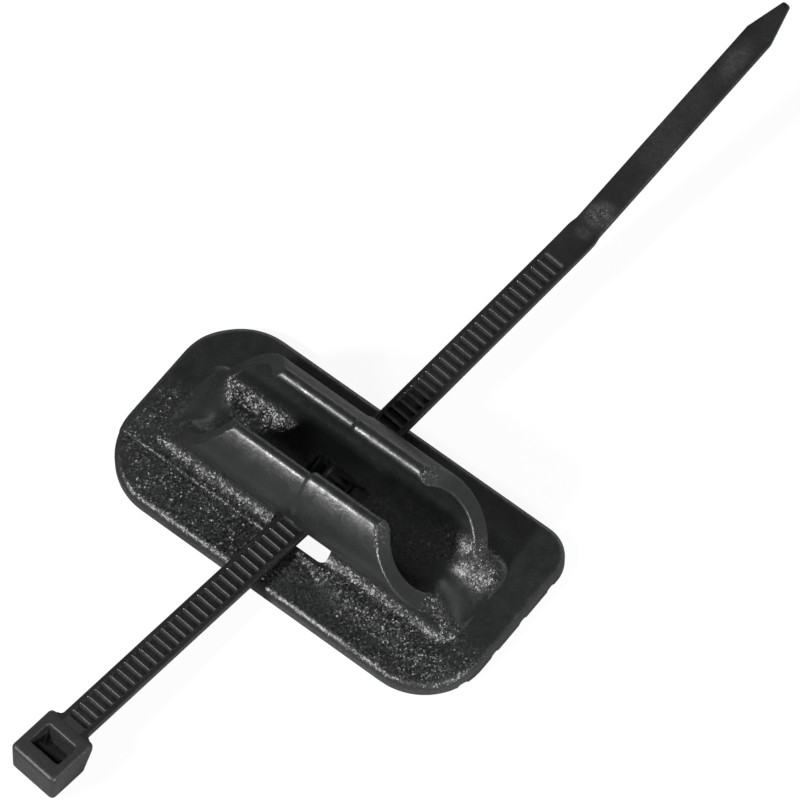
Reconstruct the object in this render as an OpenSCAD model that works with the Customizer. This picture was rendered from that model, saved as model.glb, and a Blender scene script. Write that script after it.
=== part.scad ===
// Adhesive cable clip: a glue-on base plate with an open round cable seat,
// and a ladder cable tie threaded loosely through the passage under the seat.
// X runs along the cable, Y along the tie towards its tail, Z up.
// The origin is the middle of the glue face, on the underside of the plate.

/* [Base plate] */
// Length of the plate, along the cable
plate_l = 62; // [60:1:80]
// Width of the plate, along the tie
plate_w = 32; // [28:1:44]
// Thickness of the plate at its margins
plate_t = 2.6; // [2.2:0.1:3.4]
// Corner radius of the plate's outline
plate_corner_r = 10; // [5:0.5:12]
// Radius of the one tighter corner, at +X +Y
tight_corner_r = 5; // [4:0.5:5]
// Rounding of the plate's top edge
plate_edge_r = 1.6; // [1:0.1:2]
// Height of the raised middle band above the margins
band_h = 0.5; // [0.3:0.1:0.8]
// Width of the raised band, between the creases at its foot
band_w = 18.4; // [17.6:0.2:20]
// Width of the band's sloped sides
band_side_w = 0.8; // [0.5:0.1:1]

/* [Glue grooves] */
// Number of grooves across the glue face
groove_count = 4; // [2:1:4]
// Spacing of the grooves
groove_pitch = 6.3; // [5:0.1:7]
// Diameter of the round-bottomed grooves
groove_d = 1.6; // [1:0.1:2]
// Depth of the grooves
groove_depth = 0.6; // [0.3:0.1:0.8]
// Flat land left between the grooves and the strap window
groove_land = 3; // [1.5:0.5:6]

/* [Cable seat] */
// Diameter of the seat, the largest cable that lies in it
seat_d = 13.2; // [11:0.2:14]
// Wall of the seat
seat_wall = 2.3; // [1.8:0.1:3]
// Length of the seat at the height of its axis
seat_l = 35.4; // [30:0.2:40]
// Lean of the seat's cut ends from upright, in degrees
seat_rake = 37; // [25:1:40]
// Half angle of the open mouth, from straight up, in degrees
mouth_angle = 43; // [36:1:55]
// Step in the wall where the two mould halves meet
parting_step = 0.25; // [0.1:0.05:0.4]
// Width of the web that carries the seat on the plate
web_w = 12.6; // [11:0.2:14]
// Fillet along the web's foot
web_fillet = 2; // [1:0.1:2.4]
// Fillet at the foot of the cut ends
toe_fillet = 4; // [2:0.5:5]
// Length of the seat's round bore, up to where its floor starts to run out at both ends
bore_l = 37; // [34:0.5:38]

/* [Strap passage] */
// Length of the window under the seat, across the strap
window_l = 9.8; // [8:0.2:14]
// Width of the window, along the strap
window_w = 16.2; // [14:0.2:16.4]
// Corner radius of the window
window_corner_r = 1; // [0.5:0.1:2]
// Height of the passage between the raised band and the seat
passage_h = 2; // [1.8:0.1:3]
// Width of the gap in the seat's floor above the window, along the strap
floor_gap_w = 6.2; // [5:0.2:7]

/* [Tie strap] */
// Width of the toothed strap
strap_w = 4.8; // [3.6:0.1:5.4]
// Thickness of the toothed strap
strap_t = 1.3; // [1:0.05:1.4]
// Gap between the strap and the edge of the window that it rests over
strap_clear = 0.25; // [0.15:0.05:0.35]
// Width of the ladder channel between the strap's side rails
channel_w = 3.2; // [2.4:0.1:3.6]
// Depth of the ladder channel
channel_depth = 0.6; // [0.3:0.05:0.7]
// Spacing of the rungs
rung_pitch = 1.44; // [1.2:0.02:1.8]
// Height of the rungs above the channel's floor
rung_h = 0.5; // [0.2:0.05:0.6]

/* [Tie tail] */
// Width of the smooth tail
tail_w = 4.4; // [3:0.1:4.8]
// Thickness of the smooth tail
tail_t = 1; // [0.7:0.05:1.2]
// Length of the smooth tail, up to its point
tail_l = 35; // [20:1:50]
// Length of the tail's point
point_l = 6; // [4:0.5:10]
// Width of the blunt end of the point
point_w = 1.3; // [0.8:0.1:2]

/* [Tie head] */
// Length of the head along the strap
head_l = 7.9; // [7:0.1:9]
// Width of the head
head_w = 8.1; // [7.4:0.1:9.5]
// Height of the head
head_h = 5.9; // [5:0.1:6.4]
// Slant of the head's back wall, from its top to its foot
head_slant = 1.7; // [0.5:0.1:2.5]
// Rounding of the head's upright corners
head_corner_r = 0.7; // [0.3:0.1:1]
// Width of the strap passage through the head
slot_w = 5.2; // [5:0.1:5.8]
// Length of the strap passage at the top of the head
slot_l = 3.6; // [3:0.1:4]
// Wall between the strap and the passage
slot_back = 2.1; // [1.6:0.1:2.6]
// Thickness of the locking pawl
pawl_t = 0.8; // [0.6:0.05:1]
// Gap between the pawl and the walls beside it
pawl_gap = 0.4; // [0.3:0.05:0.6]

/* [Tie lay] */
// Sideways place of the strap at the middle of the plate
lay_x = -1.3; // [-1.6:0.1:1.6]
// Turn of the strap from square, in degrees
lay_skew = 5.2; // [-6:0.1:6]
// Slope of the strap down from its head, in degrees
slope_near = 3.6; // [2:0.1:5]
// Steepest slope of the strap as it leaves the passage, in degrees
slope_lift = 13; // [9:0.5:14]
// Slope of the strap beyond the plate, in degrees
slope_far = 2.9; // [2:0.1:5]
// Slope of the tail, in degrees
slope_tail = 14.2; // [8:0.1:18]
// Distance from the middle of the plate back to where the strap starts to bend
bend_before = 5; // [4:0.5:6]
// Length of strap from the head to the bend in the passage
run_near = 44.6; // [36:0.2:50]
// Length of the upward bend in the passage
run_bend = 9; // [8:0.5:11]
// Length of the bend that levels the strap off again
run_level = 12.2; // [10:0.1:14]
// Length of strap from there to the tail
run_far = 33.4; // [26:0.2:40]
// Length of the bend where the strap thins down to its tail
run_taper = 6; // [5:0.5:8]

/* [Hidden] */
$fn = 64;
lap = 1;
// Fillets and lips cross the faces that they run out on by this much, so that none only grazes
bury = 0.05;

// Levels of the clip, from the glue face up
band_z = plate_t + band_h;
seat_r = seat_d / 2;
seat_ro = seat_r + seat_wall;
seat_z = band_z + passage_h + seat_ro;
seat_top = seat_z + seat_ro + parting_step + lap;
foot_half_l = seat_l / 2 + tan(seat_rake) * (seat_z - band_z);
toe_l = toe_fillet * tan((90 - seat_rake) / 2);

// Radii of the trumpet that opens the bore at its ends, and of the two arcs that shape it
trumpet_l = foot_half_l + toe_l - bore_l / 2;
trumpet_from = seat_r - bury;
trumpet_to = seat_z - band_z - bury;
trumpet_rise = trumpet_to - trumpet_from;
trumpet_arc = (pow(trumpet_l, 2) + pow(trumpet_rise, 2)) / (4 * trumpet_rise);

// The strap's path in its own upright plane, as [length, turn in degrees] stretches
stretches = [
    [run_near, 0],
    [run_bend, slope_near + slope_lift],
    [run_level, slope_far - slope_lift],
    [run_far, 0],
    [run_taper, slope_tail - slope_far],
    [tail_l + point_l, 0]
];
toothed_l = run_near + run_bend + run_level + run_far;
taper_end = toothed_l + run_taper;
strap_l = taper_end + tail_l + point_l;
rung_start = rung_pitch;
rung_count = floor((toothed_l - 2 * rung_pitch) / rung_pitch);
sample = rung_pitch / 2;

// The strap clears the near edge of the window by strap_clear, measured upright
near_edge_run = run_near - (window_w / 2 - bend_before) / cos(slope_near);
root_y = -bend_before - run_near * cos(slope_near);
rest_z = band_z + strap_clear + strap_t / 2 / cos(slope_near);
root_z = rest_z + near_edge_run * sin(slope_near);

function sum_to(i) = i == 0 ? 0 : stretches[i - 1][0] + sum_to(i - 1);
function heading_to(i) = i == 0 ? -slope_near : stretches[i - 1][1] + heading_to(i - 1);
// Point reached after going s along an arc that turns by a in all, from a start p and heading h
function advance(p, h, s, a) = abs(a) < 0.001
    ? p + s * [cos(h), sin(h)]
    : p + s * 180 / (PI * a) * [sin(h + a) - sin(h), cos(h) - cos(h + a)];
function start_of(i) = i == 0
    ? [root_y, root_z]
    : advance(start_of(i - 1), heading_to(i - 1), stretches[i - 1][0], stretches[i - 1][1]);
starts = [for (i = [0:len(stretches) - 1]) start_of(i)];
function stretch_at(s, i = 0) =
    i == len(stretches) - 1 || s <= sum_to(i + 1) ? i : stretch_at(s, i + 1);
function turned(s, i) = stretches[i][1] * (s - sum_to(i)) / stretches[i][0];
// Point at a height up above the strap's middle line, s along the strap from the head
function along(s, up = 0) =
    let (i = stretch_at(s))
    let (h = heading_to(i) + turned(s, i))
    advance(starts[i], heading_to(i), s - sum_to(i), turned(s, i)) + up * [-sin(h), cos(h)];
function blend(s, from, to) =
    from + (to - from) * min(1, max(0, (s - toothed_l) / run_taper));
function half_t(s) = blend(s, strap_t, tail_t) / 2;
// Places where the strap's outline needs a point: close together in the bends, far apart elsewhere
stations = concat(
    [-lap, run_near],
    [for (s = [run_near + sample:sample:run_near + run_bend + run_level]) s],
    [for (s = [toothed_l:sample:taper_end]) s],
    [strap_l]
);

// Half of the plate's edge, in the radial direction and up, with its top edge rounded
module edge_profile(reach, t, r) {
    square([reach, t - r]);
    square([reach - r, t]);
    translate([reach - r, t - r]) circle(r);
}

// One corner of the slab, in a square as large as the plate's usual corner radius
module slab_corner(corner_r, t, r) {
    straight = plate_corner_r - corner_r;
    if (straight > 0) {
        rotate([90, 0, 90])
            linear_extrude(straight)
                edge_profile(plate_corner_r, t, r);
        translate([straight, straight, 0])
            rotate([90, 0, 0])
                linear_extrude(straight)
                    edge_profile(corner_r, t, r);
    }
    translate([straight, straight, 0])
        rotate_extrude(angle = 90)
            edge_profile(corner_r, t, r);
}

module rounded_slab(t, r) {
    straight_l = plate_l - 2 * plate_corner_r;
    straight_w = plate_w - 2 * plate_corner_r;
    for (side = [0, 1]) mirror([0, side, 0]) {
        rotate([90, 0, 90])
            linear_extrude(straight_l, center = true)
                edge_profile(plate_w / 2, t, r);
    }
    for (end = [0, 180]) rotate(end) {
        translate([straight_l / 2, 0, 0])
            rotate([90, 0, 0])
                linear_extrude(straight_w, center = true)
                    edge_profile(plate_corner_r, t, r);
        for (side = [0, 1]) mirror([0, side, 0]) {
            translate([straight_l / 2, straight_w / 2, 0])
                slab_corner(end + side == 0 ? tight_corner_r : plate_corner_r, t, r);
        }
    }
}

// Section that lowers the margins on both sides of the raised band
module plate_section() {
    polygon([
        [-plate_w, -lap],
        [plate_w, -lap],
        [plate_w, plate_t],
        [band_w / 2, plate_t],
        [band_w / 2 - 2 * band_side_w, plate_t + 2 * band_h],
        [-band_w / 2 + 2 * band_side_w, plate_t + 2 * band_h],
        [-band_w / 2, plate_t],
        [-plate_w, plate_t]
    ]);
}

// Upright web under the seat, with fillets down to the raised band
module web_section() {
    foot_w = web_w + 2 * web_fillet;
    difference() {
        translate([-foot_w / 2, plate_t / 2])
            square([foot_w, seat_z - plate_t / 2]);
        for (side = [-1, 1]) {
            translate([side * foot_w / 2, band_z + web_fillet - bury]) {
                circle(web_fillet);
                translate([-web_fillet, 0]) square([2 * web_fillet, seat_z]);
            }
        }
        translate([0, seat_z]) circle(seat_r);
    }
}

// Ring open at the top, with full round lips a hair thicker than the wall
module seat_section(wall, mouth) {
    lip_at = seat_r + wall / 2;
    reach = 2 * (seat_r + wall);
    translate([0, seat_z]) {
        difference() {
            circle(seat_r + wall);
            circle(seat_r);
            polygon([[0, 0], reach * [sin(mouth), cos(mouth)], reach * [-sin(mouth), cos(mouth)]]);
        }
        for (side = [-1, 1]) {
            translate(lip_at * [side * sin(mouth), cos(mouth)]) circle(d = wall + 2 * bury);
        }
    }
}

// Side view that cuts the seat's ends at their lean and fillets them into the band
module rake_profile() {
    top_half_l = seat_l / 2 - tan(seat_rake) * (seat_top - seat_z);
    slope = 90 - seat_rake;
    polygon([
        [-foot_half_l, 0],
        [foot_half_l, 0],
        [foot_half_l, band_z],
        [top_half_l, seat_top],
        [-top_half_l, seat_top],
        [-foot_half_l, band_z]
    ]);
    for (side = [0, 1]) mirror([side, 0]) difference() {
        polygon([
            [foot_half_l - lap, plate_t / 2],
            [foot_half_l + toe_l, plate_t / 2],
            [foot_half_l + toe_l, band_z],
            [foot_half_l - toe_l * cos(slope), band_z + toe_l * sin(slope)]
        ]);
        translate([foot_half_l + toe_l, band_z + toe_fillet - bury]) circle(toe_fillet);
    }
}

module rake() {
    rotate([90, 0, 0])
        linear_extrude(plate_w, center = true)
            rake_profile();
}

// Trumpet at both ends of the bore, so that the seat's floor runs out smoothly onto the plate
module run_out() {
    for (end = [0, 180]) rotate(end) {
        translate([bore_l / 2, 0, seat_z]) rotate([0, 90, 0]) rotate_extrude() {
            difference() {
                square([trumpet_from + trumpet_rise / 2, trumpet_l]);
                translate([trumpet_from + trumpet_arc, 0]) circle(trumpet_arc);
            }
            intersection() {
                translate([trumpet_to - trumpet_arc, trumpet_l]) circle(trumpet_arc);
                square([trumpet_to, trumpet_l]);
            }
            translate([0, trumpet_l - lap / 2]) square([trumpet_from, plate_l / 2]);
            translate([0, trumpet_l]) square([trumpet_to, plate_l / 2]);
        }
    }
}

// Gap in the seat's floor, above the window
module floor_gap() {
    translate([-window_l / 2, -floor_gap_w / 2, plate_t])
        cube([window_l, floor_gap_w, seat_z - plate_t]);
}

module window() {
    l = window_l - 2 * window_corner_r;
    w = window_w - 2 * window_corner_r;
    translate([0, 0, -lap]) linear_extrude(seat_z + lap) {
        square([window_l, w], center = true);
        square([l, window_w], center = true);
        for (x = [-1, 1], y = [-1, 1]) {
            translate([x * l / 2, y * w / 2]) circle(window_corner_r);
        }
    }
}

// Round-bottomed grooves that key the glue, on both sides of the window
module glue_grooves() {
    first = window_l / 2 + groove_land;
    for (side = [0, 180], i = [0:groove_count - 1]) {
        rotate(side)
            translate([first, (i - (groove_count - 1) / 2) * groove_pitch, groove_depth - groove_d / 2])
                rotate([0, 90, 0]) cylinder(d = groove_d, h = plate_l);
    }
}

// Raised plate with its window and grooves, and the web on it
module plate_and_web() {
    difference() {
        union() {
            intersection() {
                rounded_slab(band_z, plate_edge_r);
                rotate([90, 0, 90])
                    linear_extrude(plate_l + 2 * lap, center = true)
                        plate_section();
            }
            intersection() {
                rotate([90, 0, 90]) linear_extrude(plate_l, center = true) web_section();
                rake();
            }
        }
        window();
        glue_grooves();
    }
}

// Open round seat, thicker by a fine step on the +X side of the mould parting
module seat() {
    intersection() {
        union() {
            rotate([90, 0, -90])
                linear_extrude(plate_l / 2)
                    seat_section(seat_wall, mouth_angle);
            rotate([90, 0, 90])
                linear_extrude(plate_l / 2)
                    seat_section(seat_wall + parting_step, mouth_angle - 3);
        }
        rake();
    }
}

// Plate, web and seat are one moulding
module clip_base() {
    color([0.05, 0.05, 0.055]) {
        difference() {
            plate_and_web();
            run_out();
        }
        difference() {
            seat();
            run_out();
            floor_gap();
        }
    }
}

// Side view of the whole strap and tail
module strap_profile() {
    polygon(concat(
        [for (s = stations) along(s, half_t(s))],
        [for (i = [len(stations) - 1:-1:0]) along(stations[i], -half_t(stations[i]))]
    ));
}

// What is taken out between the rails: a channel whose floor carries the rungs
module ladder_profile() {
    floor_up = strap_t / 2 - channel_depth;
    crest_up = floor_up + rung_h;
    last = rung_start + rung_count * rung_pitch;
    polygon(concat(
        [for (i = [0:rung_count - 1]) each [
            along(rung_start + i * rung_pitch, floor_up),
            along(rung_start + (i + 0.3) * rung_pitch, floor_up),
            along(rung_start + (i + 0.42) * rung_pitch, crest_up),
            along(rung_start + (i + 0.6) * rung_pitch, crest_up)
        ]],
        [along(last, floor_up), along(last, strap_t)],
        [for (i = [rung_count:-1:0]) along(rung_start + i * rung_pitch, strap_t)]
    ));
}

// Top view of the strap: parallel sides, then the narrower tail and its point
module strap_plan() {
    ends = [along(-lap)[0], along(toothed_l)[0], along(taper_end)[0], along(strap_l - point_l)[0], along(strap_l)[0]];
    halves = [strap_w / 2, strap_w / 2, tail_w / 2, tail_w / 2, point_w / 2];
    polygon(concat(
        [for (i = [0:4]) [halves[i], ends[i]]],
        [for (i = [4:-1:0]) [-halves[i], ends[i]]]
    ));
}

module side_view(w) {
    rotate([90, 0, 90]) linear_extrude(w, center = true) children();
}

module strap() {
    difference() {
        intersection() {
            side_view(head_w) strap_profile();
            translate([0, 0, -strap_l / 2]) linear_extrude(strap_l) strap_plan();
        }
        side_view(channel_w) ladder_profile();
    }
}

// Head with the strap passage and the sprung pawl, with the strap leaving at its top
module head() {
    top = strap_t / 2;
    slot_front = slot_back + slot_l;
    difference() {
        intersection() {
            side_view(head_w) polygon([
                [0, top],
                [0, top - strap_t],
                [-head_slant, top - head_h],
                [-head_l, top - head_h],
                [-head_l, top]
            ]);
            translate([0, 0, top - head_h]) linear_extrude(head_h) {
                translate([-head_w / 2, -head_l + head_corner_r])
                    square([head_w, head_l - 2 * head_corner_r]);
                translate([-head_w / 2 + head_corner_r, -head_l])
                    square([head_w - 2 * head_corner_r, head_l]);
                for (x = [-1, 1], y = [-head_l + head_corner_r, -head_corner_r]) {
                    translate([x * (head_w / 2 - head_corner_r), y]) circle(head_corner_r);
                }
            }
        }
        side_view(slot_w) polygon([
            [-slot_back, top + lap],
            [-slot_back - slot_l * 0.35, top - head_h - lap],
            [-slot_front, top - head_h - lap],
            [-slot_front, top + lap]
        ]);
    }
    pawl(top, slot_front);
}

// Tongue that leans from the front wall into the passage, free on both sides
module pawl(top, slot_front) {
    root = top - head_h * 0.75;
    side_view(slot_w - 2 * pawl_gap) polygon([
        [-slot_front - lap / 2, root],
        [-slot_front + pawl_t, root + pawl_t * 0.5],
        [-slot_front + pawl_t * 2, top - head_h * 0.25],
        [-slot_front + pawl_t, top - head_h * 0.2],
        [-slot_front - lap / 2, root + pawl_t * 1.8]
    ]);
}

// Strap, tail, head and pawl are one moulding
module cable_tie() {
    color([0.06, 0.06, 0.06])
        translate([lay_x, 0, 0]) rotate(-lay_skew) {
            strap();
            translate([0, root_y, root_z]) rotate([-slope_near, 0, 0]) head();
        }
}

clip_base();
cable_tie();
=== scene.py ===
import math

import bmesh
import bpy
import numpy as np
from mathutils import Matrix, Vector


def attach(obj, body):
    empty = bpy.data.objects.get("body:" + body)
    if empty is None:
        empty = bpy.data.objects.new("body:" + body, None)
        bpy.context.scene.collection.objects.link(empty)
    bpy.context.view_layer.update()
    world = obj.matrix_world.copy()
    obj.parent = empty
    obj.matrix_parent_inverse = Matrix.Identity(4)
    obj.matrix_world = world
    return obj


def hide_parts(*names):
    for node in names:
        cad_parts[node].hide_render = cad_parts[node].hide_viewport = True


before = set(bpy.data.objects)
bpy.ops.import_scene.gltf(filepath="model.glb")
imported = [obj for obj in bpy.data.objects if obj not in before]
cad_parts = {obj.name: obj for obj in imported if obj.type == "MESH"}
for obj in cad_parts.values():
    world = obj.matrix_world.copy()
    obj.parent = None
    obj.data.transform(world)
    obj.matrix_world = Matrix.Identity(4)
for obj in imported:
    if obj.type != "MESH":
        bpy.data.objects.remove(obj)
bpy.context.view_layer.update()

# Shapes are worked out in millimetres and radians, and the meshes are in metres
MM = 0.001
QUARTER = math.pi / 2
# Metres: points closer than MERGE become one, and edges shorter than SPECK go
MERGE, SPECK = 2e-6, 1e-7

# Sizes of the clip, those of the part's source but for a few roundings and starts set for the looks
PLATE_L, PLATE_W, PLATE_T = 62.0, 32.0, 2.6
CORNER_R, TIGHT_R, EDGE_R = 10.0, 5.0, 1.1
BAND_H, BAND_W, BAND_SIDE = 0.5, 18.4, 0.5
FADE_W, FADE_FROM, FADE_OVER = 4.0, 2.0, 9.0
BAND_Z = PLATE_T + BAND_H
GROOVES = np.array([-9.45, -3.15, 3.15, 9.45])
GROOVE_HALF, GROOVE_DEPTH, GROOVE_START, GROOVE_EASE = 0.78, 0.6, 8.0, 0.8
PASSAGE_H, SEAT_R, SEAT_WALL, SEAT_HALF = 2.0, 6.6, 2.3, 17.7
SEAT_Z = BAND_Z + PASSAGE_H + SEAT_R + SEAT_WALL
SEAT_EDGE_R, SEAT_FIXED = 0.4, 6.0
RAKE = math.tan(math.radians(37))
MOUTH, MOUTH_STEP = math.radians(43), math.radians(3)
PARTING, PARTING_OVER = 0.25, 0.9
WEB_HALF, WEB_FILLET, TOE = 6.3, 2.0, 1.0
WEB_CORNER, WEB_CORNER_MORE, WEB_SINK = 1.6, 1.2, 0.003
RUN_FROM, RUN_SIDE, RUN_TO, RUN_TURN = 18.5, 22.0, 26.7, 0.9
WINDOW_X, WINDOW_Y, WINDOW_R, WINDOW_EASE = 4.9, 8.1, 1.0, 0.2
GAP_HALF = 3.1

# Sizes of the tie, whose head is 0.2 longer than in the part's source
STRAP_W, STRAP_T, STRAP_EDGE_R = 4.8, 1.3, 0.28
CHANNEL_W, CHANNEL_DEPTH, RUNG_H, PITCH = 3.2, 0.6, 0.5, 1.44
TAIL_W, TAIL_T, TAIL_L, POINT_L, POINT_W, TIP_R = 4.4, 1.0, 35.0, 6.0, 1.3, 0.35
HEAD_L, HEAD_W, HEAD_H, HEAD_SLANT, HEAD_DRAFT = 8.1, 8.1, 5.9, 1.7, 0.2
ROOT_FLARE, ROOT_FLARE_L = 0.7, 0.8
SLOT_W, SLOT_L, SLOT_BACK = 5.2, 3.6, 2.1
LAY_X, SKEW = -1.3, math.radians(5.2)
NEAR, LIFT, FAR, TAIL_UP = (math.radians(a) for a in (3.6, 13.0, 2.9, 14.2))
RUNS = np.array([44.6, 9.0, 12.2, 33.4, 6.0, TAIL_L + POINT_L])
TURNS = np.array([0.0, NEAR + LIFT, FAR - LIFT, 0.0, TAIL_UP - FAR, 0.0])
BEND_BEFORE, STRAP_CLEAR = 5.0, 0.25
ROOT_Y = -BEND_BEFORE - RUNS[0] * math.cos(NEAR)
ROOT_Z = (BAND_Z + STRAP_CLEAR + STRAP_T / 2 / math.cos(NEAR)
          + (RUNS[0] - (WINDOW_Y - BEND_BEFORE) / math.cos(NEAR)) * math.sin(NEAR))

# Grain of the surfaces that have the same all over
EDGE_GRAIN, WINDOW_GRAIN, UNDER_GRAIN, GAP_GRAIN, HEAD_GRAIN = 0.4, 0.5, 0.3, 0.6, 0.7


def ease(t):
    """Cubic step: 0 below 0, 1 above 1, with level ends."""
    t = np.clip(t, 0.0, 1.0)
    return t * t * (3 - 2 * t)


def between(t, low, rise, high, fall):
    """1 between low and high: a cubic step up over the length rise from low, and down over fall to high."""
    return ease((t - low) / rise) * ease((high - t) / fall)


def flare(q):
    """Quarter circle fillet: 1 with an upright end at q = 0, down to 0 with a level end at q = 1."""
    q = np.clip(q, 0.0, 1.0)
    return 1 - np.sqrt(1 - (1 - q) ** 2)


def grid_faces(rows, cols, start, wrap=False):
    """Quads over a grid of rows by cols numbered from start; wrap joins the last column to the first."""
    r = np.arange(rows - 1)[:, None]
    c = np.arange(cols if wrap else cols - 1)[None, :]
    n = (c + 1) % cols
    corners = [r * cols + c, r * cols + n, (r + 1) * cols + n, (r + 1) * cols + c]
    return start + np.stack(corners, -1).reshape(-1, 4)


def piece(name, parts, crease=40.0):
    """One mesh object from several grids, with its seams merged.

    Each grid is (points in mm, grain, wrap, flip, keep, dull). grain and dull are numbers for each point,
    kept as vertex attributes: grain is 1 where the mould is spark-eroded and 0 where it is smooth, dull is 1
    where the finish reflects least. keep tells which of the grid's faces are made. keep and dull may be left
    out.
    """
    verts, faces, grains, dulls, count = [], [], [], [], 0
    for points, grain, wrap, flip, *more in parts:
        keep, dull = more or (None, 0.0)
        rows, cols = points.shape[:2]
        f = grid_faces(rows, cols, count, wrap)
        f = f if keep is None else f[keep.reshape(-1)]
        faces.append(f[:, ::-1] if flip else f)
        verts.append(points.reshape(-1, 3))
        grains.append(np.broadcast_to(grain, (rows, cols)).reshape(-1))
        dulls.append(np.broadcast_to(dull, (rows, cols)).reshape(-1))
        count += rows * cols
    # Only the points that faces use, numbered anew
    used, faces = np.unique(np.concatenate(faces), return_inverse=True)
    verts = np.concatenate(verts)[used] * MM
    mesh = bpy.data.meshes.new(name)
    mesh.from_pydata(verts.tolist(), [], faces.reshape(-1, 4).tolist())
    for key, values in (("grain", grains), ("dull", dulls)):
        layer = mesh.attributes.new(key, "FLOAT", "POINT")
        layer.data.foreach_set("value", np.concatenate(values)[used].astype(np.float32))
    work = bmesh.new()
    work.from_mesh(mesh)
    bmesh.ops.remove_doubles(work, verts=work.verts, dist=MERGE)
    bmesh.ops.dissolve_degenerate(work, edges=work.edges, dist=SPECK)
    work.to_mesh(mesh)
    work.free()
    mesh.shade_smooth()
    mesh.set_sharp_from_angle(angle=math.radians(crease))
    obj = bpy.data.objects.new(name, mesh)
    bpy.context.scene.collection.objects.link(obj)
    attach(obj, "root")
    return obj


# Plate
def band_height(x, y):
    """Top of the plate: the band's level, falling to the margins' level beyond the band.

    On the near side the fall is short and crisp, a quarter of an ellipse; towards the right end and on the
    far side it goes over to a wide eased step.
    """
    spread = np.where(y > 0, 1.0, ease((x - FADE_FROM) / FADE_OVER))
    wide = BAND_SIDE + FADE_W * spread
    u = np.clip((np.abs(y) - BAND_W / 2 + BAND_SIDE) / wide, 0, 1)
    return PLATE_T + BAND_H * ((1 - spread) * np.sqrt(1 - u * u) + spread * ease(1 - u))


def plate_grain(x, y):
    """Grain of the plate's top: full on the near side, worn smooth towards the far side and the right end.

    A bell-shaped dip along x wears it near the window too, outside the band.
    """
    least, most, dip = 0.08, 1.5, 0.6
    worn = 1 - dip * np.exp(-((x - 7.0) / 6.0) ** 2) * ease((-9.0 - y) / 1.5)
    return least + most * worn * ease((-2.0 - 0.1 * x - y) / 5.0 + 0.5)


def groove_rise(x, y):
    """Depth of the glue grooves: a half round across y, eased in along x from the grooves' inner ends."""
    across = (y[..., None] - GROOVES) / GROOVE_HALF
    depth = np.sqrt(np.clip(1 - across ** 2, 0, None)).max(-1)
    return GROOVE_DEPTH * depth * np.sqrt(ease((np.abs(x) - GROOVE_START) / GROOVE_EASE))


# Rows follow y: the same up to ROW_KEEP for every inset, squeezed beyond it to end on the inset edge
ROW_KEEP, LEAST_STEP = 10.5, 0.02
HOLE_X, HOLE_Y = 8.0, 8.36


def row_lines():
    """y of the plate's rows: even steps, with more lines at the band's sides, the grooves and the corners."""
    wave = np.sin(np.linspace(-1, 1, 9) * QUARTER)
    rise = np.sin(np.linspace(0, 1, 22) * QUARTER)
    half = [np.linspace(0, HOLE_Y, 22), np.linspace(BAND_W / 2 - BAND_SIDE, BAND_W / 2, 9)]
    half += [np.abs(g) + GROOVE_HALF * wave for g in GROOVES if g > 0]
    half += [PLATE_W / 2 - r + r * rise for r in (CORNER_R, TIGHT_R)]
    half = np.unique(np.round(np.concatenate(half), 3))
    half = half[np.concatenate([[True], np.diff(half) > LEAST_STEP])]
    half[-1] = PLATE_W / 2
    return np.concatenate([-half[:0:-1], half])


ROWS = row_lines()
MIDDLE = np.linspace(-HOLE_X, HOLE_X, 25)
REACH = np.concatenate([[0.02, 0.05], np.linspace(0.09, 1, 40)])


def inset_rows(inset):
    """y of the rows for an outline that is inset by this much."""
    y = np.abs(ROWS)
    far = ROW_KEEP + (y - ROW_KEEP) * (PLATE_W / 2 - inset - ROW_KEEP) / (PLATE_W / 2 - ROW_KEEP)
    return np.sign(ROWS) * np.where(y > ROW_KEEP, far, y)


def outline_x(y, inset, side):
    """Half length of the inset outline at y: straight ends with round corners, the +X +Y one tighter."""
    r = np.where((side > 0) & (y > 0), TIGHT_R, CORNER_R)
    over = np.clip(np.abs(y) - (PLATE_W / 2 - r), 0, None)
    return PLATE_L / 2 - r + np.sqrt(np.clip((r - inset) ** 2 - over ** 2, 0, None))


def plate_grid(inset):
    """x and y of a grid over the inset outline: fixed columns in the middle, stretched ones beyond."""
    y = inset_rows(inset)
    left = -HOLE_X - (outline_x(y, inset, -1) - HOLE_X)[:, None] * REACH[::-1]
    right = HOLE_X + (outline_x(y, inset, 1) - HOLE_X)[:, None] * REACH
    x = np.concatenate([left, np.broadcast_to(MIDDLE, (len(y), len(MIDDLE))), right], 1)
    return x, np.broadcast_to(y[:, None], x.shape)


def boundary(a):
    """The rim of a grid as one closed loop: last row, right column down, first row back, left column up."""
    return np.concatenate([a[-1, :-1], a[:0:-1, -1], a[0, :0:-1], a[:-1, 0]])


def rounded_path(hx, hy, r, t):
    """Points on a rounded rectangle: t runs 0 to 4, one for each side from corner middle to corner middle.

    Side 0 is +X going up, 1 is +Y going left, 2 is -X going down, 3 is -Y going right.
    """
    side = np.floor(t).astype(int) % 4
    s = (t - np.floor(t)) * 2 - 1
    along, out = np.where(side % 2 == 0, hy, hx), np.where(side % 2 == 0, hx, hy)
    arc = r * math.pi / 4
    run = np.abs(s) * (along - r + arc)
    on_arc = np.clip(run - (along - r), 0, None) / max(r, 1e-9)
    u = np.sign(s) * (np.minimum(run, along - r) + r * np.sin(on_arc))
    v = out - r + r * np.cos(on_arc)
    x = np.choose(side, [v, -u, -v, u])
    y = np.choose(side, [u, v, -u, -v])
    return np.stack([x, y], -1)


def plate_edge(under):
    """Edge of the plate: a quarter circle from the top to the side, then straight down to the underside."""
    loops = []
    for a in np.linspace(0, QUARTER, 9):
        rim_x, rim_y = (boundary(g) for g in plate_grid(EDGE_R * (1 - math.sin(a))))
        z = band_height(rim_x, rim_y) - EDGE_R * (1 - math.cos(a))
        loops.append(np.stack([rim_x, rim_y, z], -1))
    side, floor = loops[-1], boundary(under)
    loops += [side * (1 - s) + floor * s for s in (0.35, 0.7, 1.0)]
    return np.stack(loops)


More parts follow.
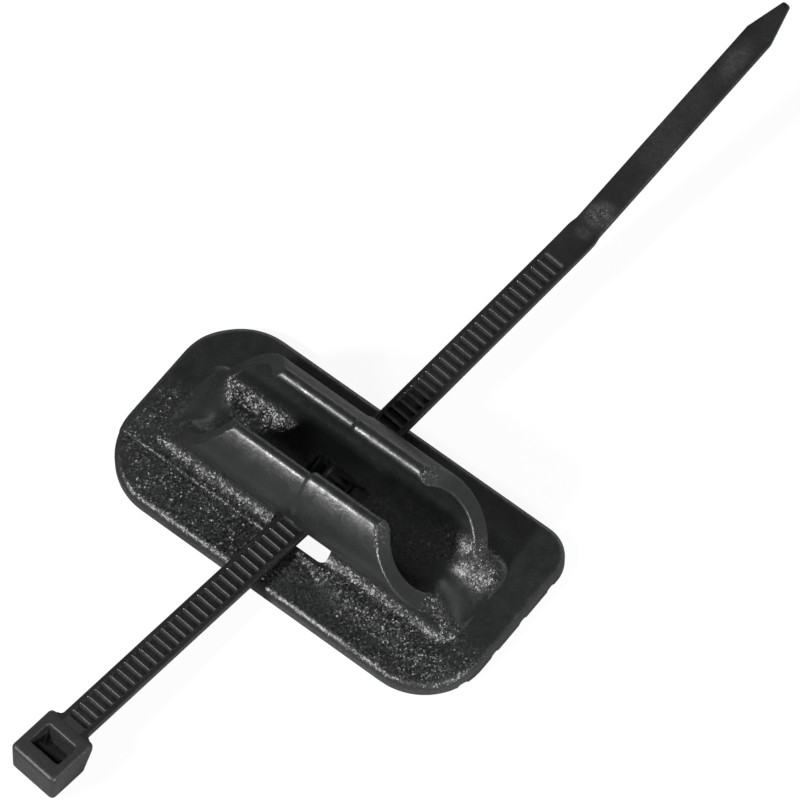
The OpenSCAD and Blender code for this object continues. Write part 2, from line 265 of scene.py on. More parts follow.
def rim_parameter(rim):
    """Side and fraction along it, as rounded_path counts them, for points on the open rectangle."""
    x, y = rim[:, 0] / HOLE_X, rim[:, 1] / HOLE_Y
    edge = 1 - 1e-6
    up, down = y >= edge, y <= -edge
    t = np.where(x >= edge, (y + 1) / 2, 2 + (1 - y) / 2)
    t = np.where(up & (x < edge), 1 + (1 - x) / 2, t)
    t = np.where(down & (x > -edge), 3 + (x + 1) / 2, t)
    return np.mod(t, 4.0)


def plate_window(rim):
    """Strap window: from the rectangle left open in the grids to the rounded window, down and back below.

    The window's rings grow in from the rectangle, go over the edge by a quarter circle and then straight
    down through the plate. In y they keep to the narrow room between the rectangle and the window.
    """
    t = rim_parameter(rim)
    room = HOLE_Y - WINDOW_Y - LEAST_STEP

    def ring(grow_x, grow, z):
        path = rounded_path(WINDOW_X + grow_x, WINDOW_Y + grow, WINDOW_R + grow, t)
        return np.column_stack([path, np.full(len(t), z)])

    rings = [np.column_stack([rim, np.full(len(t), BAND_Z)])]
    rings += [ring(grow, min(grow, room), BAND_Z) for grow in (2.2, 0.9, WINDOW_EASE)]
    for a in np.linspace(0, QUARTER, 6)[1:]:
        grow = WINDOW_EASE * (1 - math.sin(a))
        rings.append(ring(grow, grow, BAND_Z - WINDOW_EASE * (1 - math.cos(a))))
    rings += [ring(0.0, 0.0, z) for z in (2.0, 1.0, 0.0)]
    rings.append(np.column_stack([rim, np.zeros(len(t))]))
    return np.stack(rings)


def around_hole(grid, inside, n):
    """The four pieces of a grid round the open rectangle: below it, above it, left and right of it."""
    first, last = np.flatnonzero(inside)[[0, -1]]
    m = n + len(MIDDLE) - 1
    return [grid[:first + 1], grid[last:], grid[first:last + 1, :n + 1], grid[first:last + 1, m:]]


def plate_parts():
    """Top, edge, underside and strap window of the plate, as grids that share their rims."""
    x, y = plate_grid(EDGE_R)
    top = np.stack([x, y, band_height(x, y)], -1)
    x, y = plate_grid(0.0)
    under = np.stack([x, y, groove_rise(x, y)], -1)
    inside, n = np.abs(ROWS) <= HOLE_Y + 1e-6, len(REACH)
    edge = plate_edge(under)
    window = plate_window(boundary(top[inside, n:n + len(MIDDLE), :2])[::-1])
    parts = [(edge, EDGE_GRAIN * plate_grain(edge[..., 0], edge[..., 1]), True, False),
             (window, WINDOW_GRAIN, True, False)]
    parts += [(p, plate_grain(p[..., 0], p[..., 1]), False, False) for p in around_hole(top, inside, n)]
    parts += [(p, UNDER_GRAIN, False, True) for p in around_hole(under, inside, n)]
    return parts


# Web and seat
def run_out(y, z):
    """Where the bore's end has opened to y and z.

    It is a trumpet: its radius about the cable's axis grows by an eased step from the bore's radius to the
    one that touches the plate, and starts to grow later on the sides than at the bottom.
    """
    late = ease(np.arctan2(np.abs(y), SEAT_Z - z) / RUN_TURN)
    start = RUN_FROM + (RUN_SIDE - RUN_FROM) * late
    p = np.clip((np.hypot(y, SEAT_Z - z) - SEAT_R) / (SEAT_Z - BAND_Z - SEAT_R), 0, 1)
    return start + (RUN_TO - start) * (0.5 - np.sin(np.arcsin(1 - 2 * p) / 3))


def soft_min(a, b, z):
    """The smaller of two lengths, with a softened change from one to the other, softer near the plate."""
    least, more, top, over = 0.12, 0.8, 9.5, 6.0
    soft = least + more * ease((top - z) / over)
    return np.minimum(a, b) - soft * np.log1p(np.exp(-np.abs(a - b) / soft))


def foot_grain(z):
    """Grain of the web's sides and of the seat's underside: full near the plate, none higher up."""
    top, over = 8.6, 1.5
    return np.clip((top - z) / over, 0, 1)


def end_grain(y, z, x):
    """Grain of the seat's ends: on the toes, the run-out's far side and the lips' tips.

    At the foot it goes over to the plate's own by a cubic step.
    """
    toe = np.where(y > 0, 1.1, 2.2) * np.clip(10.2 - z, 0, 1) * ease((np.abs(y) - 3.4) / 1.2)
    far = 0.6 * between(y, 0.4, 1.6, 6.2, 1.0) * ease((SEAT_Z - 3.5 - z) / 1.5)
    tip = 0.9 * ease(z - SEAT_Z - 4.2)
    grain = np.maximum(np.maximum(toe, far), tip)
    return grain + (plate_grain(x, y) - grain) * ease((BAND_Z + 1.2 - z) / 1.2)


def web_lid(ring, wall_row, out):
    """Closes a ring of the web by straight blends from the window wall's row to the ring's end.

    out is the share of the way for each row of the blend.
    """
    n = len(out)
    lid = wall_row + (ring[n - 1:1 - n] - wall_row) * out[:, None, None]
    lid[:, 0], lid[:, -1] = ring[:n], ring[:-n - 1:-1]
    return lid


def foot_parts():
    """Web and toes under the seat, on both sides of the strap window.

    Each is a stack of D-shaped rings from the plate up into the seat's wall. A ring's half width is the web's
    plus a quarter circle fillet at its foot, and its outer end follows the leaning cut or the run-out.
    """
    n_side, n_arc, n_end = 14, 12, 41
    base, start = BAND_Z - WEB_SINK, WINDOW_X
    low = 1 - np.cos(np.linspace(0, 0.5, 16) * QUARTER)
    v = np.concatenate([low, np.linspace(0.32, 1, 18)])[:, None]

    def height(y):
        """z of the rings' points at each share v, for points that stand over y on the web."""
        return base + (SEAT_Z - np.sqrt((SEAT_R + SEAT_WALL / 2) ** 2 - y ** 2) - base) * v

    def half_width(z):
        """Half width of the web at z, with its fillet."""
        return WEB_HALF + WEB_FILLET * flare((z - base) / WEB_FILLET)

    # A ring goes out along the near side, round a corner, across the end, round a corner and back
    out = np.linspace(0, 1, n_side)
    arc = np.linspace(0, QUARTER, n_arc + 2)[1:-1]
    end = np.linspace(-1, 1, n_end)
    kind = np.repeat([0, 1, 2, 3, 4], [n_side, n_arc, n_end, n_arc, n_side])[None, :]
    value = np.concatenate([out, arc, end, QUARTER - arc, out[::-1]])[None, :]
    along = (kind == 0) | (kind == 4)
    z = height(np.where(kind == 2, value * (WEB_HALF - 1), WEB_HALF))
    half = half_width(z)
    corner = WEB_CORNER + WEB_CORNER_MORE * (half - WEB_HALF)
    reach = SEAT_HALF + RAKE * (SEAT_Z - z) + TOE * flare(v * np.ones_like(z))
    x = np.select([along, kind == 2], [start + (reach - corner - start) * value, reach],
                  reach - corner + corner * np.sin(value))
    y = np.select([kind == 0, kind == 1, kind == 2, kind == 3],
                  [-half, corner - half - corner * np.cos(value), value * (half - corner),
                   half - corner + corner * np.cos(value)], half)
    rings = np.stack([soft_min(x, run_out(y, z), z), y, z], -1)
    # The wall at the window, and lids below and above
    across = np.linspace(-1, 1, n_end + 2 * n_arc + 2)[None, :]
    wall_z = height(across * WEB_HALF)
    wall = np.stack([np.full_like(wall_z, start), across * half_width(wall_z), wall_z], -1)
    lower, upper = (web_lid(rings[row], wall[row], out) for row in (0, -1))
    parts = []
    for side in (-1, 1):
        flip = np.array([side, 1, 1])
        grain = np.where(along, foot_grain(z), end_grain(y, z, side * rings[..., 0]))
        parts += [(rings * flip, grain, False, side < 0), (wall * flip, WINDOW_GRAIN, False, side > 0),
                  (lower * flip, 0.0, False, side < 0), (upper * flip, 0.0, False, side > 0)]
    return parts


def seat_finish(points, inset, wall, mouth):
    """Grain and dullness of the seat: products of cubic steps of place and of angle from the bore's bottom.

    The bore is nearly smooth, with a grained band low on its far side and a grained patch at the right end.
    Its left part, the cut ends and the near wall, most at its right, are dull. The lips are smoother.
    """
    x, y, z = points[..., 0], points[..., 1], points[..., 2]
    radius = np.hypot(y, z - SEAT_Z)
    angle = np.arctan2(y, SEAT_Z - z)
    bore = np.clip((SEAT_R + 0.5 - radius) / 0.3, 0, 1)
    near_wall = np.clip((radius - SEAT_R - wall + 0.5) / 0.3, 0, 1) * ease((-2.0 - y) / 2.0)
    left = bore * between(angle, 0.1, 0.2, 1.2, 0.2) * ease((4.0 - x) / 8.0)
    band = between(angle, 0.38, 0.12, 0.76, 0.12) * ease((np.abs(x) - 7.0) / 4.0)
    patch = between(angle, 0.12, 0.15, 1.0, 0.25) * ease((x - 15.0) / 3.0) * (radius < SEAT_R + wall / 2)
    lip = np.clip((z + 1.2 - np.cos(mouth) * (SEAT_R + wall) - SEAT_Z) / 0.8, 0, 1)
    side_dull = (0.2 + 0.5 * ease((x - 1.0) / 9.0)) * ease((SEAT_Z + 5.0 - z) / 2.5)
    end_dull = 0.35 * between(z, 8.0, 2.0, SEAT_Z + 4.5, 2.0)
    dull = np.where(inset > 0, end_dull, np.maximum(left, near_wall * side_dull))
    grain = np.maximum(bore * (0.1 + 0.2 * band + 0.4 * band * left), 0.75 * patch)
    grain = np.maximum(np.minimum(grain, 1 - 0.7 * lip), foot_grain(z))
    return np.where(inset > 0, end_grain(y, z, x), grain), dull


def seat_parts():
    """The open round seat as rings along X, each a closed C-shaped section, with a gap in its floor.

    A ring's section is set in by a quarter circle near the cut ends, then shrunk to the wall's middle line,
    which makes the end faces. x goes to the leaning cut or to the run-out. The wall thickens a little at the
    mould parting. The faces over the strap window are left out of the floor, and walls join the bore to the
    underside round that gap.
    """
    # Rings: end face, rounded edge and body on the left, the middle, and the same mirrored on the right
    turn = np.linspace(QUARTER, 0, 8)
    cap = np.linspace(SEAT_WALL / 2 + PARTING, SEAT_EDGE_R, 8)[:-1]
    body = np.linspace(1, 0, 26)[1:-1]
    inset = np.concatenate([cap, SEAT_EDGE_R * (1 - np.cos(turn)), np.zeros(len(body))])
    back = np.concatenate([np.zeros(len(cap)), SEAT_EDGE_R * (1 - np.sin(turn)),
                           np.full(len(body), SEAT_EDGE_R)])
    share = np.concatenate([np.ones(len(cap) + len(turn)), body])
    middle = np.concatenate([[-SEAT_FIXED], np.linspace(-WINDOW_X, -0.2, 10),
                             np.linspace(0, PARTING_OVER, 12), np.linspace(1.2, WINDOW_X, 8), [SEAT_FIXED]])
    none, ends = np.zeros(len(middle)), np.ones(len(share))
    side = np.concatenate([-ends, none, ends])[:, None]
    base = np.concatenate([-SEAT_FIXED * ends, middle, SEAT_FIXED * ends])[:, None]
    share, inset, back = (np.concatenate([a, none, a[::-1]])[:, None] for a in (share, inset, back))
    step = ease(base / PARTING_OVER)
    wall = SEAT_WALL + PARTING * step
    mouth = MOUTH - MOUTH_STEP * step
    inset = np.minimum(inset, wall / 2)
    # Shares of the way round, from one mouth edge to the other, with columns at the sides of the gap
    n_arm, n_gap, gap_from, gap_to, gap_share = 46, 19, 0.42, 0.58, 0.16
    w = np.concatenate([np.linspace(0, gap_from, n_arm), np.linspace(gap_from, gap_to, n_gap)[1:-1],
                        np.linspace(gap_to, 1, n_arm)])[None, :]
    n, first, last = w.shape[1], n_arm - 1, n_arm + n_gap - 2
    b = np.linspace(0, math.pi, 18)[None, 1:-1]
    outer, inner = SEAT_R + wall - inset, SEAT_R + inset

    def sweep(r):
        """Angles from straight up, over the far side and down, for an arc of radius r."""
        gap = np.arcsin(GAP_HALF / r)
        arm = math.pi - gap - mouth
        return np.select([w < gap_from, w <= gap_to],
                         [mouth + arm * w / gap_from, math.pi - gap + 2 * gap * (w - gap_from) / gap_share],
                         math.pi + gap + arm * (w - gap_to) / gap_from)

    out_a, in_a = sweep(outer), sweep(inner)[:, ::-1]
    lip, lip_r = SEAT_R + wall / 2, wall / 2 - inset
    sm, cm, sb, cb = np.sin(mouth), np.cos(mouth), np.sin(b), np.cos(b)
    y = np.concatenate([outer * np.sin(out_a), -lip * sm + lip_r * (sb * cm - cb * sm),
                        inner * np.sin(in_a), lip * sm - lip_r * (cb * sm + sb * cm)], 1)
    z = SEAT_Z + np.concatenate([outer * np.cos(out_a), lip * cm + lip_r * (cb * cm + sb * sm),
                                 inner * np.cos(in_a), lip * cm + lip_r * (sb * sm - cb * cm)], 1)
    reach = soft_min(SEAT_HALF + RAKE * (SEAT_Z - z), run_out(y, z), z)
    points = np.stack([base + side * share * (reach - back - SEAT_FIXED), y, z], -1)
    grain, dull = seat_finish(points, inset, wall, mouth)
    # Gap in the floor: columns of the underside, and the same ones of the bore, counted backwards
    r0, r1 = np.flatnonzero(np.isclose(np.abs(base[:, 0]), WINDOW_X))
    end = n + b.shape[1] + n - 1
    rows, cols = np.arange(len(base) - 1)[:, None], np.arange(y.shape[1])[None, :]
    in_floor = ((cols >= first) & (cols < last)) | ((cols >= end - last) & (cols < end - first))
    keep = ~((rows >= r0) & (rows < r1) & in_floor)
    under = points[r0:r1 + 1, first:last + 1]
    floor = points[r0:r1 + 1, end - last:end - first + 1][:, ::-1]
    rim = np.stack([boundary(under), boundary(floor)])
    return [(points, grain, True, True, keep, dull), (rim, GAP_GRAIN, True, False)]


# Tie: how far past the teeth the tail narrows and thins, and where the channel starts and stops short of them
NARROW_AT, NARROW_OVER, THIN_AT, THIN_OVER = 3.2, 1.6, 2.2, 2.6
CHANNEL_FROM, CHANNEL_IN, CHANNEL_SHORT, CHANNEL_OUT = 0.7, 0.3, 2.6, 0.5
TIP_THIN = 0.35
# Where its bends start and end along the strap
S_BEND = np.concatenate([[0], np.cumsum(RUNS)])
TOOTHED, TAPER_END, STRAP_L = S_BEND[4:]


def strap_line(s):
    """Place and heading along the strap: straight runs and arcs, by integrating the heading finely."""
    step = 0.02
    fine = np.arange(-2.0, STRAP_L + 0.05, step)
    heading = -NEAR + np.interp(fine, S_BEND, np.concatenate([[0], np.cumsum(TURNS)]))
    mid = (heading[1:] + heading[:-1]) / 2
    y = np.concatenate([[0], np.cumsum(np.cos(mid) * step)])
    z = np.concatenate([[0], np.cumsum(np.sin(mid) * step)])
    y += ROOT_Y - np.interp(0, fine, y)
    z += ROOT_Z - np.interp(0, fine, z)
    return np.interp(s, fine, y), np.interp(s, fine, z), np.interp(s, fine, heading)


def lay(points):
    """Turns points of the tie's own upright plane by its skew and shifts them to where the strap lies."""
    c, s = math.cos(SKEW), math.sin(SKEW)
    x, y = points[..., 0], points[..., 1]
    return np.stack([c * x + s * y + LAY_X, -s * x + c * y, points[..., 2]], -1)


def rung_rise(s):
    """Height of the rungs: a quarter circle up at the front and a straight slope down, in every pitch."""
    foot, front, slope = 0.1, 0.16, 0.7
    p = np.mod((s - PITCH) / PITCH, 1.0)
    crest = 1 - np.clip((p - foot) / front, 0, 1)
    return RUNG_H * (np.sqrt(1 - crest * crest) - np.clip((p - foot - front) / slope, 0, 1))


def scuffs(s, w):
    """Grain of the strap: bell-shaped scuffs where the tail starts and before its point, and duller rungs."""
    grain = 9.0 * np.exp(-((s - TOOTHED - 6.8) / 1.1) ** 2 - ((w - 0.2) / 1.1) ** 2)
    grain = grain + 2.5 * np.exp(-((s - TOOTHED - 3.4) / 0.7) ** 2 - ((w - 0.2) / 1.0) ** 2)
    grain = grain + 1.6 * np.exp(-((s - STRAP_L + 11.0) / 2.5) ** 2 - (w / 1.2) ** 2)
    return grain + 0.8 * ((s < TOOTHED - 2.0) & (np.abs(w) < CHANNEL_W / 2))


def strap_part():
    """The strap as rings along its line: a flat bar with rounded edges and a rung channel up to the tail.

    The half width narrows to the tail and to the point, and flares where the strap leaves the head.
    """
    point_from, tip_from = STRAP_L - POINT_L, STRAP_L - TIP_R
    round_tip = TIP_R * (1 - np.sin(np.linspace(0.2, 1, 6) * QUARTER))
    s = np.concatenate([[-0.42, -0.2], np.arange(0, TOOTHED, PITCH / 16), np.linspace(TOOTHED, TAPER_END, 26),
                        np.linspace(TAPER_END + 1, point_from, 30),
                        np.linspace(point_from + 0.2, tip_from, 22), STRAP_L - round_tip])
    s = np.unique(np.round(s, 4))[:, None]
    half = (STRAP_W + (TAIL_W - STRAP_W) * ease((s - TOOTHED - NARROW_AT) / NARROW_OVER)) / 2
    half = half + ROOT_FLARE * flare(np.clip(s, 0, None) / ROOT_FLARE_L)
    point = np.clip((s - point_from) / (POINT_L - TIP_R), 0, 1)
    half = half + (POINT_W / 2 - TAIL_W / 2) * point
    tip = np.sqrt(np.clip(1 - (np.clip(s - STRAP_L + TIP_R, 0, None) / TIP_R) ** 2, 0, 1))
    half = half - TIP_R * (1 - tip)
    thick = (STRAP_T + (TAIL_T - STRAP_T) * ease((s - TOOTHED - THIN_AT) / THIN_OVER)) / 2
    thick = thick * (TIP_THIN + (1 - TIP_THIN) * tip)
    channel = ease((s - CHANNEL_FROM) / CHANNEL_IN)
    channel = channel * (1 - ease((s - TOOTHED + CHANNEL_SHORT) / CHANNEL_OUT))
    floor = thick - channel * CHANNEL_DEPTH + channel * rung_rise(s)
    r, a = STRAP_EDGE_R, np.linspace(0, QUARTER, 6)[None, :]
    cw = np.minimum(CHANNEL_W / 2, half - 0.5)
    none, drop = np.zeros_like(s), thick - floor
    # Right half from the middle of the underside, up the side, over the rail and into the channel
    w = np.concatenate([none, 0.5 * (half - r), half - r + r * np.sin(a), half - r + r * np.cos(a),
                        cw + 0.22, cw + 0.12, cw + 0.02, cw - 0.06, cw - 0.16,
                        cw * 0.75, cw * 0.5, cw * 0.25, none], 1)
    n = np.concatenate([-thick, -thick, -thick + r * (1 - np.cos(a)), thick - r + r * np.sin(a),
                        thick, thick - 0.08 * drop, thick - 0.5 * drop, thick - 0.92 * drop, floor,
                        floor, floor, floor, floor], 1)
    w = np.concatenate([w, -w[:, -2:0:-1]], 1)
    n = np.concatenate([n, n[:, -2:0:-1]], 1)
    y, z, h = strap_line(s)
    points = np.stack([w, y - n * np.sin(h), z + n * np.cos(h)], -1)
    # Both ends close in the middle of their ring
    centre = points.mean(1, keepdims=True) * np.ones((1, points.shape[1], 1))
    points = np.concatenate([centre[:1], points, centre[-1:]])
    s, w = (np.concatenate([v[:1], v, v[-1:]]) for v in (s, w))
    return (lay(points), scuffs(s, w), True, True)


def head_place(points):
    """Puts points of the head, with x across, y along and z up from the strap's root, where the head is."""
    c, s = math.cos(NEAR), math.sin(NEAR)
    y, z = points[..., 1], points[..., 2]
    return lay(np.stack([points[..., 0], ROOT_Y + c * y + s * z, ROOT_Z - s * y + c * z], -1))


def box_ring(width, y_front, y_back, r, z, t):
    """Rounded rectangle across the head at height z, from y_front to y_back."""
    ring = rounded_path(width / 2, (y_back - y_front) / 2, r, t)
    return np.column_stack([ring[:, 0], ring[:, 1] + (y_back + y_front) / 2, np.full(len(t), z)])


def head_part():
    """The head as rings over its top, down its walls, under it and back up through the strap passage.

    Its edges and the passage's upper edge are quarter circles.
    """
    t = np.arange(0, 4, 1 / 28)
    top, low = STRAP_T / 2, STRAP_T / 2 - HEAD_H
    soft, foot, brim, sill = 0.6, 0.5, 0.25, 0.15
    corner, corner_loss, corner_least = 0.7, 0.6, 0.25
    slot_corner, slot_slant = 0.35, 0.35

    def wall(z, inset):
        """Outline at height z: upright front, back that slants in below the strap, slightly drafted sides."""
        down = np.clip((top - STRAP_T - z) / (HEAD_H - STRAP_T), 0, 1)
        return (HEAD_W - HEAD_DRAFT * down - 2 * inset, -HEAD_L + inset, -HEAD_SLANT * down - inset,
                max(corner - inset * corner_loss, corner_least))

    def slot(z, grow):
        """Outline of the passage at height z, longer at the top than it is below."""
        down = np.clip((top - z) / HEAD_H, 0, 1)
        return (SLOT_W + 2 * grow, -SLOT_BACK - SLOT_L - grow,
                -SLOT_BACK - SLOT_L * slot_slant * down + grow, slot_corner + grow)

    inner, outer = slot(top, brim), wall(top, soft)
    rings = [(inner, top)]
    rings += [([(1 - k) * p + k * q for p, q in zip(inner, outer)], top) for k in (0.33, 0.66)]
    for q in np.linspace(0, QUARTER, 8):
        z = top - soft * (1 - math.cos(q))
        rings.append((wall(z, soft * (1 - math.sin(q))), z))
    rings += [(wall(z, 0), z) for z in np.linspace(top - soft, low + foot, 9)[1:]]
    for q in np.linspace(0, QUARTER, 6)[1:]:
        z = low + foot * (1 - math.sin(q))
        rings.append((wall(z, foot * (1 - math.cos(q))), z))
    rings.append((slot(low, sill), low))
    rings += [(slot(z, 0), z) for z in np.linspace(low + sill, top - brim, 9)]
    for q in np.linspace(0, QUARTER, 5)[1:]:
        rings.append((slot(top, brim * (1 - math.cos(q))), top - brim * (1 - math.sin(q))))
    points = np.stack([box_ring(*outline, z, t) for outline, z in rings])
    return (head_place(points), HEAD_GRAIN, True, True)


def pawl_part():
    """The locking tongue: a bent bar's side view carried across the passage, closed at both ends.

    The side view's corners are cut three times at a quarter and three quarters of each edge, which rounds it.
    """
    top, front = STRAP_T / 2, -SLOT_BACK - SLOT_L
    root = top - HEAD_H * 0.75
    outline = np.array([[front - 0.4, root], [front + 0.8, root + 0.4], [front + 1.6, top - HEAD_H * 0.25],
                        [front + 0.8, top - HEAD_H * 0.2], [front - 0.4, root + 1.44]])
    for _ in range(3):
        outline = np.stack([outline * 0.75 + np.roll(outline, -1, 0) * 0.25,
                            outline * 0.25 + np.roll(outline, -1, 0) * 0.75], 1).reshape(-1, 2)
    across = np.array([-2.2, -2.2, -2.0, 2.0, 2.2, 2.2])
    shrink = np.array([0.0, 0.85, 1.0, 1.0, 0.85, 0.0])
    middle = outline.mean(0)
    side = middle + (outline - middle)[None] * shrink[:, None, None]
    x = np.broadcast_to(across[:, None, None], side[..., :1].shape)
    return (head_place(np.concatenate([x, side], -1)), 0.0, True, False)


# Nodes
def feed(tree, socket, value):
    """Links another node's output to a socket, or sets the socket to a plain number, vector or colour."""
    if isinstance(value, bpy.types.NodeSocket):
        tree.links.new(value, socket)
    else:
        socket.default_value = value


def made(tree, kind, inputs, output=0, **settings):
    """Output of a new node of this kind, with its settings and inputs."""
    node = tree.nodes.new("ShaderNode" + kind)
    for key, value in settings.items():
        setattr(node, key, value)
    for key, value in inputs.items():
        feed(tree, node.inputs[key], value)
    return node.outputs[output]


def reckoned(tree, operation, *values, **settings):
    """Output of a math node on these values."""
    return made(tree, "Math", dict(enumerate(values)), operation=operation, **settings)


def turned(tree, operation, *values):
    """Output of a vector math node on these values."""
    return made(tree, "VectorMath", dict(enumerate(values)), "Vector", operation=operation)


def ranged(tree, value, source, target, curve="LINEAR"):
    """Value carried from the source range to the target range, held at both ends."""
    names = ("Value", "From Min", "From Max", "To Min", "To Max")
    inputs = dict(zip(names, (value, *source, *target)))
    return made(tree, "MapRange", inputs, "Result", interpolation_type=curve)


def axes_of(tree, coordinate):
    """X, Y and Z of a texture coordinate, as outputs."""
    place = made(tree, "TexCoord", {}, coordinate)
    return made(tree, "SeparateXYZ", {0: place}).node.outputs


# Finishes: roughness where dull, and reflection where dull and elsewhere
DULL_ROUGH, DULL_SHINE, FULL_SHINE = 0.28, 0.15, 0.5
PATCHY, FAINT_TILT = 0.1, 0.06


def plastic(name, colour, smooth, grained, tilt, cells, cloud):
    """Black moulded plastic: facets with chance tilts where the grain attribute is 1, patchy satin elsewhere.

    smooth and grained are the roughness without and with grain, tilt is how far the facets lean, cells is the
    number of facets in a metre and cloud that of the patches.
    """
    mat = bpy.data.materials.new(name)
    mat.use_nodes = True
    tree = mat.node_tree
    place = made(tree, "TexCoord", {}, "Object")
    grain = made(tree, "Attribute", {}, "Fac", attribute_name="grain")
    dull = made(tree, "Attribute", {}, "Fac", attribute_name="dull")
    facet = made(tree, "TexVoronoi", {"Vector": place, "Scale": cells}, "Color")
    patch = made(tree, "TexNoise", {"Vector": place, "Scale": cloud, "Detail": 5.0, "Roughness": 0.65}, "Fac")
    # Roughness: the patches' value, going over to the facets' one with the grain and to a set one where dull
    satin = ranged(tree, patch, (0.3, 0.7), (smooth - PATCHY, smooth + PATCHY))
    rough = made(tree, "Mix", {"Factor": grain, "A": satin, "B": grained}, "Result")
    rough = made(tree, "Mix", {"Factor": dull, "A": rough, "B": DULL_ROUGH}, "Result")
    shine = ranged(tree, dull, (0.0, 1.0), (FULL_SHINE, DULL_SHINE))
    # Normal: a faint unevenness, plus each facet's own tilt, which the patches vary
    uneven = made(tree, "Bump", {"Distance": 0.0002, "Strength": 0.5, "Height": patch}, "Normal")
    chance = turned(tree, "SUBTRACT", facet, (0.5, 0.5, 0.5))
    amount = reckoned(tree, "MULTIPLY_ADD", grain, tilt, FAINT_TILT)
    amount = reckoned(tree, "MULTIPLY", amount, ranged(tree, patch, (0.35, 0.65), (0.5, 1.5)))
    lean = made(tree, "VectorMath", {0: chance, "Scale": amount}, "Vector", operation="SCALE")
    normal = turned(tree, "NORMALIZE", turned(tree, "ADD", uneven, lean))
    shader = tree.nodes["Principled BSDF"].inputs
    for key, value in (("Base Color", (*colour, 1)), ("IOR", 1.5), ("Roughness", rough),
                       ("Specular IOR Level", shine), ("Normal", normal)):
        feed(tree, shader[key], value)
    return mat


clip = piece("clip_moulding", plate_parts() + foot_parts() + seat_parts())
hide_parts("clip_base")
clip.data.materials.append(plastic("grained_black", (0.0062, 0.0069, 0.0066), smooth=0.40, grained=0.42,
                                   tilt=0.50, cells=4200.0, cloud=500.0))

tie = piece("tie_moulding", [strap_part(), head_part(), pawl_part()])
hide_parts("cable_tie")
tie.data.materials.append(plastic("satin_black", (0.0060, 0.0066, 0.0062), smooth=0.36, grained=0.60,
                                  tilt=0.14, cells=4200.0, cloud=130.0))

# Camera, at the photograph's viewing angle: turned round from the front, looking down, in metres
VIEW_TURN, VIEW_DOWN, VIEW_DISTANCE = math.radians(37.95), math.radians(64), 1.0
VIEW_TARGET = np.array([-0.00322, 0.01953, 0.0])
SENSOR_MM, PICTURE_PIXELS, PIXELS_PER_METRE = 36.0, 800, 7150
level = math.cos(VIEW_DOWN)
right = np.array([math.cos(VIEW_TURN), math.sin(VIEW_TURN), 0.0])
back = np.array([math.sin(VIEW_TURN) * level, -math.cos(VIEW_TURN) * level, math.sin(VIEW_DOWN)])
lens = bpy.data.cameras.new("camera")
lens.sensor_width = SENSOR_MM
lens.lens = SENSOR_MM * PIXELS_PER_METRE * VIEW_DISTANCE / PICTURE_PIXELS
lens.clip_start, lens.clip_end = 0.05, 20.0
camera = bpy.data.objects.new("camera", lens)
turn = Matrix([right, np.cross(back, right), back]).transposed().to_4x4()
camera.matrix_world = Matrix.Translation(Vector(VIEW_TARGET + back * VIEW_DISTANCE)) @ turn
bpy.context.scene.collection.objects.link(camera)
bpy.context.scene.camera = camera

# Floor, in metres: white paper that glows for the camera and keeps a faint shadow
FLOOR_HALF, FLOOR_Z, FLOOR_GLOW = 1.5, -2e-5, 0.93
# Paper tones: as the camera sees it, and as the plastic mirrors it, a painted reflection that is darkest on
# the left
PAPER_TONE, MIRRORED_TONE, MIRRORED_LEFT = 0.9, 0.3, 0.09
corners = [(-1, -1), (1, -1), (1, 1), (-1, 1)]
floor_mesh = bpy.data.meshes.new("floor")
floor_mesh.from_pydata([(x * FLOOR_HALF, y * FLOOR_HALF, FLOOR_Z) for x, y in corners], [], [(0, 1, 2, 3)])
floor = bpy.data.objects.new("floor", floor_mesh)
bpy.context.scene.collection.objects.link(floor)
paper = bpy.data.materials.new("paper")
paper.use_nodes = True
tree = paper.node_tree
axes = axes_of(tree, "Object")
# Painted shadow: no glow and a darker paper in the deep shadow under the seat, a box by centre and half
# width, with a soft near side
shade = reckoned(tree, "MULTIPLY", reckoned(tree, "COMPARE", axes["X"], 0.0, 0.007),
                 reckoned(tree, "COMPARE", axes["Y"], 0.003, 0.009))
shade = reckoned(tree, "MULTIPLY", shade, ranged(tree, axes["Y"], (-0.005, 0.003), (0.0, 1.0), "SMOOTHSTEP"))
camera_ray = made(tree, "LightPath", {}, "Is Camera Ray")
shown = reckoned(tree, "SUBTRACT", camera_ray, shade, use_clamp=True)
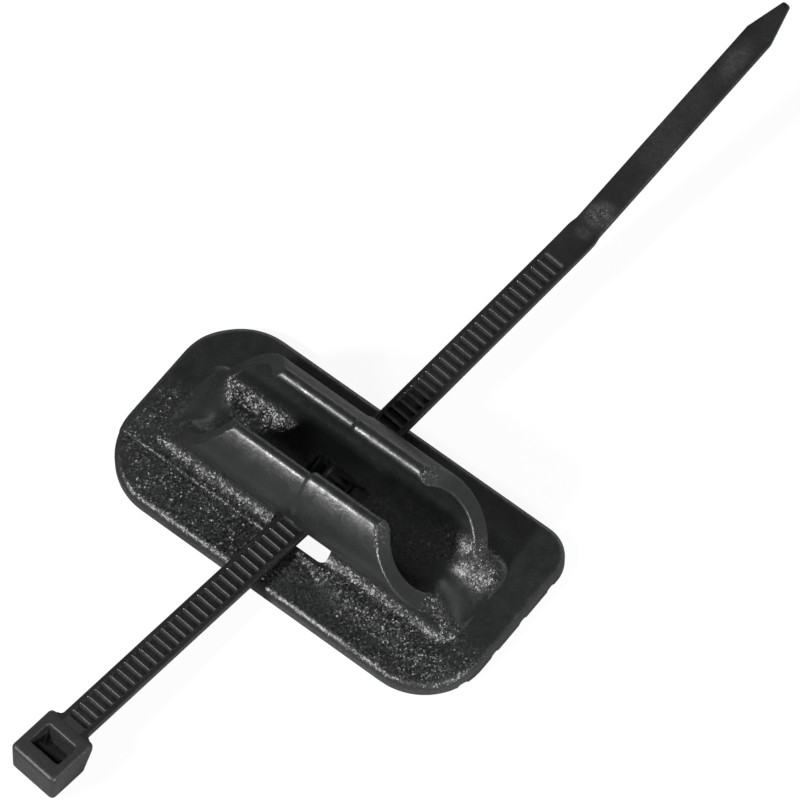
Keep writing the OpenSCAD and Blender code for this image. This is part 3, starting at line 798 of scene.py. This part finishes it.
# Painted reflection: the paper that the plastic mirrors is darker than the paper the camera sees, most on the
# left, which darkens the plastic's reflections there
mirrored = ranged(tree, axes["X"], (-0.035, -0.01), (MIRRORED_LEFT, MIRRORED_TONE))
shader = tree.nodes["Principled BSDF"]
shader.inputs["Roughness"].default_value = 0.9
feed(tree, shader.inputs["Base Color"], ranged(tree, shown, (0.0, 1.0), (mirrored, PAPER_TONE)))
glow = made(tree, "Emission", {"Strength": 1.0})
share = reckoned(tree, "MULTIPLY", shown, FLOOR_GLOW)
mixed = made(tree, "MixShader", {0: share, 1: shader.outputs[0], 2: glow})
feed(tree, tree.nodes["Material Output"].inputs["Surface"], mixed)
floor_mesh.materials.append(paper)

# Lamps: direction from the object and power in watts; distance and size are in metres
LAMP_DISTANCE, LAMP_SIZE, LAMP_CENTRE = 0.6, 0.07, Vector((0, 0.02, 0))
LAMPS = {"front": ((-0.46, -1.0, 0.95), 5.6), "front_right": ((0.846, -0.398, 0.402), 4.5)}
for name, (direction, power) in LAMPS.items():
    light = bpy.data.lights.new(name, "AREA")
    light.shape = "SQUARE"
    light.size = LAMP_SIZE
    light.energy = power
    obj = bpy.data.objects.new(name, light)
    d = Vector(direction).normalized()
    obj.location = d * LAMP_DISTANCE + LAMP_CENTRE
    obj.rotation_euler = d.to_track_quat("Z", "Y").to_euler()
    bpy.context.scene.collection.objects.link(obj)

# Surroundings: bright near the horizon, dimmer overhead, with a white backdrop behind
HORIZON, OVERHEAD, BACKDROP = 0.42, 0.16, 2.8
world = bpy.data.worlds.new("studio")
world.use_nodes = True
tree = world.node_tree
axes = axes_of(tree, "Generated")
backdrop = reckoned(tree, "MULTIPLY", ranged(tree, axes["Z"], (0.05, 0.38), (BACKDROP, 0.0)),
                    ranged(tree, axes["Y"], (0.3, 0.9), (0.0, 1.0)))
sky = reckoned(tree, "ADD", backdrop, ranged(tree, axes["Z"], (0.0, 0.6), (HORIZON, OVERHEAD)))
feed(tree, tree.nodes["Background"].inputs["Strength"], sky)
tree.nodes["Background"].inputs["Color"].default_value = (0.97, 1.0, 0.985, 1)
bpy.context.scene.world = world
bpy.context.scene.view_settings.view_transform = "Standard"
